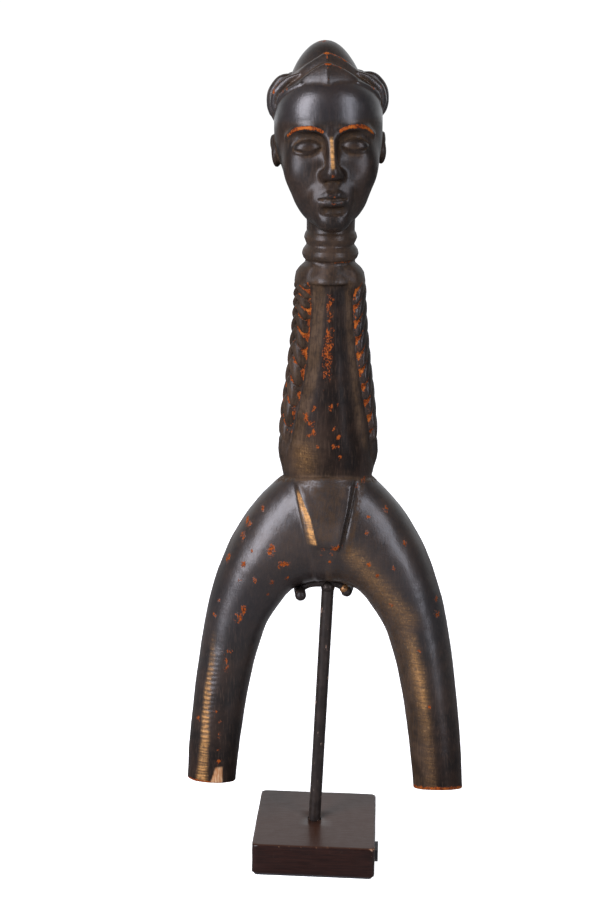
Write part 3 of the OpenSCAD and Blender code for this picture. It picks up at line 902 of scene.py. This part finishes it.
def rib_phase(p):
    """Phase of the knife strokes across the left leg, closer together towards its end."""
    h = p[:, 2]
    turns = ramp(h, [(-70, -52), (-52, -33), (0, 0)])
    return 2 * math.pi * (turns + 0.35 * leg_place(p)) + 2.2 * surface_waves(p) + 0.9 * surface_ripples(p)


def ribs(p):
    """Low ribs left by the knife on the front of the left leg."""
    x, y, h = p.T
    place = window(h, -67, -64, -34, -16) * step(0, -3, y + leg_forward(h)) * (x < 0)
    return 0.035 * np.sin(rib_phase(p)) * place * bell(leg_place(p), 0.36, 0.28)


carving_object = build_carving()


# ------------------------------------------------------------------ materials

def add_node(nodes, kind, **values):
    """A new node, with values for its inputs. An underscore stands for a space in their names."""
    node = nodes.new("ShaderNode" + kind)
    for name, value in values.items():
        node.inputs[name.replace("_", " ")].default_value = value
    return node


class Shader:
    """One material's nodes. Each helper returns a socket, and sizes are in millimetres."""

    def __init__(self, name, **fixed):
        self.material = bpy.data.materials.new(name)
        self.material.use_nodes = True
        self.nodes = self.material.node_tree.nodes
        self.links = self.material.node_tree.links
        self.shader = self.nodes["Principled BSDF"]
        self.place = add_node(self.nodes, "TexCoord").outputs["Object"]
        for socket, value in fixed.items():
            self.shader.inputs[socket.replace("_", " ")].default_value = value

    def plug(self, socket, value):
        if isinstance(value, bpy.types.NodeSocket):
            self.links.new(value, socket)
        elif isinstance(value, tuple) and len(value) == 3 and len(socket.default_value) == 4:
            socket.default_value = (*value, 1)
        else:
            socket.default_value = value

    def math(self, operation, a, b=0.0, c=0.0):
        node = add_node(self.nodes, "Math")
        node.operation = operation
        for socket, value in zip(node.inputs, (a, b, c)):
            self.plug(socket, value)
        return node.outputs[0]

    def times(self, a, b):
        return self.math("MULTIPLY", a, b)

    def times_plus(self, a, b, c):
        return self.math("MULTIPLY_ADD", a, b, c)

    def mix(self, factor, a, b):
        node = add_node(self.nodes, "Mix")
        node.data_type = "RGBA"
        self.plug(node.inputs[0], factor)
        self.plug(node.inputs[6], a)
        self.plug(node.inputs[7], b)
        return node.outputs[2]

    def blend(self, value, low, high, a, b):
        """Colour a while the value is under low, colour b while it is over high."""
        return self.mix(self.span(value, low, high), a, b)

    def noise(self, size, detail=3, stretch=(1, 1, 1), rough=0.55):
        mapping = add_node(self.nodes, "Mapping", Scale=[1000 / size * k for k in stretch])
        self.plug(mapping.inputs["Vector"], self.place)
        node = add_node(self.nodes, "TexNoise", Scale=1, Detail=detail, Roughness=rough)
        self.plug(node.inputs["Vector"], mapping.outputs[0])
        return node.outputs["Fac"]

    def span(self, value, low, high, start=0.0, end=1.0):
        node = add_node(self.nodes, "MapRange")
        node.interpolation_type = "SMOOTHSTEP"
        for name, v in (("Value", value), ("From Min", low), ("From Max", high),
                        ("To Min", start), ("To Max", end)):
            self.plug(node.inputs[name], v)
        return node.outputs["Result"]

    def layer(self, name):
        node = add_node(self.nodes, "Attribute")
        node.attribute_name = name
        return node.outputs["Fac"]

    def broken(self, mask, noise, soft=0.05):
        """A mask with ragged edges: its value is the share of the noise that shows through."""
        edge = self.math("SUBTRACT", 1.0, mask)
        edge = self.times_plus(edge, 0.52, 0.27)
        return self.span(self.math("SUBTRACT", noise, edge), -soft, soft)

    def bump(self, height, depth):
        node = add_node(self.nodes, "Bump", Distance=depth * MM)
        self.plug(node.inputs["Height"], height)
        return node.outputs["Normal"]

    def finish(self, colour, roughness, normal):
        """Plugs in what every material here sets from nodes."""
        self.plug(self.shader.inputs["Base Color"], colour)
        self.plug(self.shader.inputs["Roughness"], roughness)
        self.plug(self.shader.inputs["Normal"], normal)
        return self.material


def carved_wood():
    s = Shader("carved_wood", Specular_IOR_Level=0.09, Coat_Roughness=0.31)
    polish = s.layer("polish")
    fibres = s.noise(0.42, 4, (1, 1, 0.1))
    hatch = s.noise(0.5, 3, (0.1, 0.1, 1))
    blotches = s.noise(8, 4)
    ragged = s.noise(1.6, 5, (1, 1, 0.7), 0.62)
    specks = s.noise(0.5, 3, (1, 1, 0.7), 0.6)
    dents = s.noise(2.6, 4)
    dark = s.blend(blotches, 0.38, 0.68, (0.0052, 0.0033, 0.0025), (0.0165, 0.0092, 0.0060))
    dark = s.mix(s.span(fibres, 0.50, 0.70, 0, 0.5), dark, (0.040, 0.025, 0.017))
    # Where polish is high the patina is painted blue-black: darker rubbed wood, with a bluish tint that is
    # a painted sheen of the lamps.
    dark = s.mix(s.span(polish, 0.75, 1.0, 0, 0.65), dark, (0.0080, 0.0069, 0.0084))
    dusty = s.span(s.noise(1.6, 4), 0.3, 0.62, 0.45, 1.0)
    dusty = s.times(dusty, s.span(fibres, 0.34, 0.58, 0.55, 1.0))
    # This grey-brown layer is dust, and also painted light on the channel walls facing the left lamp and
    # on the apron panel.
    film_and_light = s.times(s.layer("film_and_light"), dusty)
    film_and_light_colour = s.blend(blotches, 0.35, 0.65, (0.050, 0.030, 0.0160), (0.072, 0.046, 0.028))
    colour = s.mix(s.times(film_and_light, 0.95), dark, film_and_light_colour)
    gold = s.layer("gold")
    rubbed = s.times_plus(hatch, 0.6, s.times(s.noise(0.7, 3, (1, 1, 0.5)), 0.4))
    gold_share = s.times(s.span(gold, 0.05, 0.85), s.span(rubbed, 0.38, 0.58, 0.35, 1.0))
    gold_colour = s.blend(gold, 0.4, 0.95, (0.130, 0.068, 0.023), (0.42, 0.215, 0.070))
    # The bright specks in the gold are light fibres of the worn wood and also painted glints.
    gold_colour = s.mix(s.span(specks, 0.52, 0.72, 0, 0.45), gold_colour, (0.58, 0.33, 0.13))
    colour = s.mix(gold_share, colour, gold_colour)
    torn = s.times_plus(ragged, 0.6, s.times(specks, 0.4))
    chips = s.broken(s.layer("chips"), torn)
    chip_colour = s.blend(specks, 0.38, 0.60, (0.058, 0.0100, 0.0022), (0.215, 0.047, 0.0058))
    bright = s.times(s.span(s.noise(3.5, 2), 0.48, 0.68), s.span(s.layer("chips"), 0.6, 0.95))
    chip_colour = s.mix(bright, chip_colour, (0.32, 0.092, 0.013))
    colour = s.mix(chips, colour, chip_colour)
    pale = s.blend(fibres, 0.4, 0.7, (0.30, 0.14, 0.060), (0.46, 0.30, 0.17))
    colour = s.mix(s.layer("cut"), colour, pale)
    bare = s.math("MAXIMUM", s.times(chips, 0.8), s.times(gold_share, 0.5))
    worn = s.math("MAXIMUM", bare, s.math("MAXIMUM", s.times(film_and_light, 1.1), s.layer("cut")))
    s.plug(s.shader.inputs["Coat Weight"], s.times(s.span(worn, 0.05, 0.85, 1.0, 0.0), polish))
    roughness = s.times_plus(worn, 0.22, s.span(dents, 0.3, 0.7, 0.50, 0.60))
    height = s.times_plus(fibres, 0.5, s.times(dents, 0.9))
    height = s.times_plus(hatch, 0.35, height)
    height = s.times_plus(chips, -0.5, height)
    lacquer = s.times_plus(fibres, 0.20, s.times(s.noise(5, 4), 1.0))
    lacquer = s.times_plus(hatch, 0.16, lacquer)
    s.plug(s.shader.inputs["Coat Normal"], s.bump(s.times_plus(chips, -0.4, lacquer), 0.11))
    return s.finish(colour, roughness, s.bump(s.times_plus(specks, 0.25, height), 0.11))


def stained_block():
    s = Shader("stained_block", Coat_Weight=0.32, Coat_Roughness=0.22, Specular_IOR_Level=0.12)
    grain = s.noise(0.5, 4, (0.07, 1, 1))
    figure = s.noise(5, 3, (0.25, 1, 1))
    wear = s.broken(s.layer("worn_edge"), s.noise(0.7, 4))
    colour = s.blend(grain, 0.35, 0.68, (0.0078, 0.0020, 0.0011), (0.0185, 0.0058, 0.0036))
    colour = s.mix(s.span(figure, 0.4, 0.7, 0, 0.4), colour, (0.010, 0.0044, 0.0036))
    # The top face is painted lighter all over: painted light falling on the top.
    colour = s.mix(s.layer("painted_top_light"), colour, (0.040, 0.0165, 0.0090))
    colour = s.mix(wear, colour, (0.22, 0.115, 0.06))
    dust = s.span(s.noise(2.2, 5), 0.62, 0.8, 0, 0.16)
    colour = s.mix(dust, colour, (0.10, 0.08, 0.07))
    roughness = s.span(s.noise(3, 4), 0.3, 0.7, 0.30, 0.42)
    return s.finish(colour, roughness, s.bump(grain, 0.05))


def blackened_steel():
    s = Shader("blackened_steel", Specular_IOR_Level=0.22, Coat_Weight=0.03, Coat_Roughness=0.3)
    paint = s.blend(s.noise(4, 4), 0.4, 0.7, (0.0105, 0.0076, 0.0062), (0.022, 0.016, 0.013))
    chips = s.span(s.noise(1.5, 4, (1, 1, 0.45), 0.65), 0.645, 0.68)
    rust = s.blend(s.noise(0.7, 3), 0.4, 0.6, (0.13, 0.07, 0.045), (0.36, 0.26, 0.20))
    colour = s.mix(chips, paint, rust)
    roughness = s.span(s.noise(1.2, 4), 0.3, 0.7, 0.38, 0.52)
    height = s.times_plus(chips, -1.0, s.noise(0.6, 4))
    return s.finish(colour, roughness, s.bump(height, 0.05))


def brass_braze():
    s = Shader("brass_braze", Metallic=0.7)
    across = add_node(s.nodes, "SeparateXYZ")
    s.plug(across.inputs[0], s.place)
    bare = s.times(s.span(across.outputs[0], 0.004, 0.0065), s.span(s.noise(1.0, 4), 0.35, 0.55))
    colour = s.mix(bare, (0.022, 0.016, 0.013), (0.24, 0.12, 0.045))
    roughness = s.span(s.noise(0.5, 3), 0.3, 0.7, 0.35, 0.6)
    return s.finish(colour, roughness, s.bump(s.noise(0.5, 4), 0.12))


def zinc_steel():
    s = Shader("zinc_steel", Metallic=1.0)
    colour = s.mix(s.noise(2, 3), (0.36, 0.37, 0.38), (0.62, 0.62, 0.60))
    roughness = s.span(s.noise(0.5, 4, (0.2, 1, 1)), 0.3, 0.7, 0.28, 0.45)
    return s.finish(colour, roughness, s.bump(s.noise(0.3, 3), 0.02))


def felt():
    s = Shader("felt", Sheen_Weight=0.4, Sheen_Roughness=0.5)
    colour = s.blend(s.noise(0.4, 5), 0.35, 0.65, (0.007, 0.007, 0.008), (0.022, 0.021, 0.021))
    roughness = s.span(s.noise(1, 2), 0.3, 0.7, 0.85, 0.98)
    return s.finish(colour, roughness, s.bump(s.noise(0.25, 5), 0.2))


def tag_plate():
    s = Shader("tag_plate")
    colour = s.blend(s.noise(1.4, 4), 0.4, 0.7, (0.012, 0.0115, 0.012), (0.034, 0.031, 0.03))
    roughness = s.span(s.noise(0.8, 3), 0.3, 0.7, 0.45, 0.62)
    return s.finish(colour, roughness, s.bump(s.noise(0.4, 4), 0.03))


MATERIALS = {make.__name__: make() for make in (
    carved_wood, stained_block, blackened_steel, brass_braze, zinc_steel, felt, tag_plate)}


# ------------------------------------------------------------------ the stand

BLOCK_SIDES = 160
BLOCK_ANGLES = 2 * np.pi * (np.arange(BLOCK_SIDES) + 0.5) / BLOCK_SIDES
BLOCK_CORNER = 1.4
BLOCK_EDGE = 0.7
ROD_HOLE_X = -0.5
ROD_HOLE_RADIUS = 2.1
ROD_LEAN = math.tan(math.radians(2.2))
POCKET_RADIUS = 5.5


def rounded_square(half, corner):
    """Points of a square with round corners, one in each of the block's directions."""
    c, s = np.cos(BLOCK_ANGLES), np.sin(BLOCK_ANGLES)
    ax, ay = np.abs(c), np.abs(s)
    flat = half / np.maximum(ax, ay)
    core = half - corner
    # where the ray meets the corner's circle
    dot = core * (ax + ay)
    round_part = dot + np.sqrt(np.maximum(dot ** 2 - 2 * core ** 2 + corner ** 2, 0))
    r = np.where(flat * np.minimum(ax, ay) > core, round_part, flat)
    return np.stack([r * c, r * s], 1)


def block_rings(half, bottom, pocket_top, top):
    """Rings of points: from the nut's pocket outwards, up the sides, in over the top, down the hole."""
    rings = []

    def square(inset, z, corner):
        flat = rounded_square(half - inset, corner)
        rings.append(np.column_stack([flat, np.full(BLOCK_SIDES, z)]))

    def circle(radius, z):
        middle = [ROD_HOLE_X + (z - top) * ROD_LEAN, 0]
        flat = middle + radius * np.stack([np.cos(BLOCK_ANGLES), np.sin(BLOCK_ANGLES)], 1)
        rings.append(np.column_stack([flat, np.full(BLOCK_SIDES, z)]))

    circle(ROD_HOLE_RADIUS, pocket_top)
    circle(POCKET_RADIUS, pocket_top)
    circle(POCKET_RADIUS, bottom)
    for inset, rise, corner in ((9, 0, 1.2), (0.4, 0, 1.2), (0.12, 0.12, 1.3), (0, 0.4, BLOCK_CORNER)):
        square(inset, bottom + rise, corner)
    for z in np.linspace(bottom + 1.2, top - BLOCK_EDGE, 7):
        square(0, z, BLOCK_CORNER)
    for turn in np.radians([18, 36, 54, 72, 90]):
        square(BLOCK_EDGE * (1 - math.cos(turn)), top - BLOCK_EDGE * (1 - math.sin(turn)), 1.3)
    for inset in (1.2, 2.2, 4, 7, 11, 14):
        square(inset, top, 1.2)
    for wider, depth in ((0.4, 0), (0.05, 0.25), (0, 2)):
        circle(ROD_HOLE_RADIUS + wider, top - depth)
    return rings


def build_block():
    """The block with its edges rubbed round, the rod's leaning hole, and the nut's pocket below it."""
    low, high = [np.array(c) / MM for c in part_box("base_block")]
    half = (high[0] - low[0]) / 2
    top = high[2]
    rings = block_rings(half, low[2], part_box("rod_washer")[1][2] / MM, top)
    points = np.concatenate(rings)
    waves, ripples = Lattice(11, 9.0), Lattice(12, 2.5)
    outward = points * [1, 1, 0] / half
    points = points + outward * (0.05 * waves(points) + 0.015 * ripples(points) - 0.06)[:, None]
    points[:, 2] += np.where(points[:, 2] > top - 0.3, 0.04 * waves(points) - 0.05, 0)
    faces = []
    for i in range(len(rings)):
        this, above = i * BLOCK_SIDES, (i + 1) % len(rings) * BLOCK_SIDES
        for k in range(BLOCK_SIDES):
            n = (k + 1) % BLOCK_SIDES
            faces.append((this + k, this + n, above + n, above + k))
    obj = mesh_object("block_wood", points * MM, np.array(faces))

    x, y, z = points.T
    out = np.maximum(np.abs(x), np.abs(y))
    top_edge = bell(z, top - 0.3, 0.5) * step(half - 1.6, half - 0.4, out)
    corners = bell(np.abs(x), half, 1.0) * bell(np.abs(y), half, 1.0)
    front_right = bell(np.hypot(x - half, y + half), 0, 2.2) * top_edge
    set_layer(obj, "worn_edge", np.maximum.reduce([0.22 * top_edge, 0.26 * corners, 0.80 * front_right]))
    # The whole top face gets the painted light of the top.
    set_layer(obj, "painted_top_light", 0.75 * step(top - 0.35, top - 0.15, z))
    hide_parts("base_block")
    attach(obj, "stand")
    return obj


def dress(obj, slot):
    if not obj.data.materials:
        obj.data.materials.append(None)
    obj.material_slots[0].material = MATERIALS[slot]


dress(carving_object, "carved_wood")
dress(build_block(), "stained_block")
for subpart in frame["record"]["subparts"]:
    dress(frame["nodes"][subpart["node"]], subpart["material_slot"])


# ------------------------------------------------------------------ camera and light

def place_camera():
    data = bpy.data.cameras.new("camera")
    data.lens = 58
    data.sensor_width = 36
    data.clip_start = 0.01
    camera = new_object("camera", data)
    turn = (Matrix.Rotation(math.radians(3.25), 4, "Z") @ Matrix.Rotation(math.radians(77.02), 4, "X")
            @ Matrix.Rotation(math.radians(0.74), 4, "Z"))
    camera.matrix_world = Matrix.Translation((0.0184, -0.4468, 0.2409)) @ turn
    bpy.context.scene.camera = camera


LIGHT_AIM = Vector((0, 0, 0.16))


def soft_box(name, place, size, power, colour):
    data = bpy.data.lights.new(name, "AREA")
    data.shape = "RECTANGLE"
    data.size, data.size_y = size
    data.energy = power
    data.color = colour
    lamp = new_object(name, data)
    lamp.location = place
    aim = LIGHT_AIM - Vector(place)
    lamp.rotation_euler = aim.to_track_quat("-Z", "Y").to_euler()


def seen_or_cast(tree, output, seen, cast):
    """The camera sees one shader directly, and every other ray meets the second one."""
    out = add_node(tree.nodes, output)
    mix = add_node(tree.nodes, "MixShader")
    ray = add_node(tree.nodes, "LightPath")
    tree.links.new(ray.outputs["Is Camera Ray"], mix.inputs["Fac"])
    tree.links.new(cast.outputs[0], mix.inputs[1])
    tree.links.new(seen.outputs[0], mix.inputs[2])
    tree.links.new(mix.outputs[0], out.inputs[0])


def light_world():
    """White seen directly. Its light comes mostly from the bright wall behind the object."""
    world = bpy.data.worlds.new("studio")
    world.use_nodes = True
    bpy.context.scene.world = world
    tree = world.node_tree
    tree.nodes.clear()
    seen = add_node(tree.nodes, "Background", Color=(1, 1, 1, 1), Strength=1.05)
    cast = add_node(tree.nodes, "Background", Color=(0.95, 0.97, 1, 1))
    place = add_node(tree.nodes, "TexCoord")
    parts = add_node(tree.nodes, "SeparateXYZ")
    span = add_node(tree.nodes, "MapRange", From_Min=-0.1, From_Max=0.75, To_Min=0.05, To_Max=1.0)
    span.interpolation_type = "SMOOTHSTEP"
    tree.links.new(place.outputs["Generated"], parts.inputs[0])
    tree.links.new(parts.outputs["Y"], span.inputs["Value"])
    tree.links.new(span.outputs["Result"], cast.inputs["Strength"])
    seen_or_cast(tree, "OutputWorld", seen, cast)


def lay_floor():
    mesh = bpy.data.meshes.new("floor")
    half = 3.0
    corners = [(-half, -half, 0), (half, -half, 0), (half, half, 0), (-half, half, 0)]
    mesh.from_pydata(corners, [], [(0, 1, 2, 3)])
    floor = new_object("floor", mesh)
    material = bpy.data.materials.new("floor_white")
    material.use_nodes = True
    tree = material.node_tree
    tree.nodes.clear()
    seen = add_node(tree.nodes, "BsdfPrincipled", Base_Color=(0.9, 0.9, 0.9, 1), Roughness=0.9,
                    Specular_IOR_Level=0.1, Emission_Color=(1, 1, 1, 1), Emission_Strength=0.78)
    cast = add_node(tree.nodes, "BsdfDiffuse", Color=(0.35, 0.34, 0.33, 1))
    seen_or_cast(tree, "OutputMaterial", seen, cast)
    mesh.materials.append(material)


place_camera()
light_world()
lay_floor()
soft_box("key", (-0.58, -0.64, 0.46), (0.42, 1.1), 20, (0.92, 0.90, 1))
soft_box("fill", (0.60, -0.62, 0.42), (0.24, 1.0), 7.0, (0.87, 0.88, 1))
bpy.context.scene.view_settings.view_transform = "Standard"
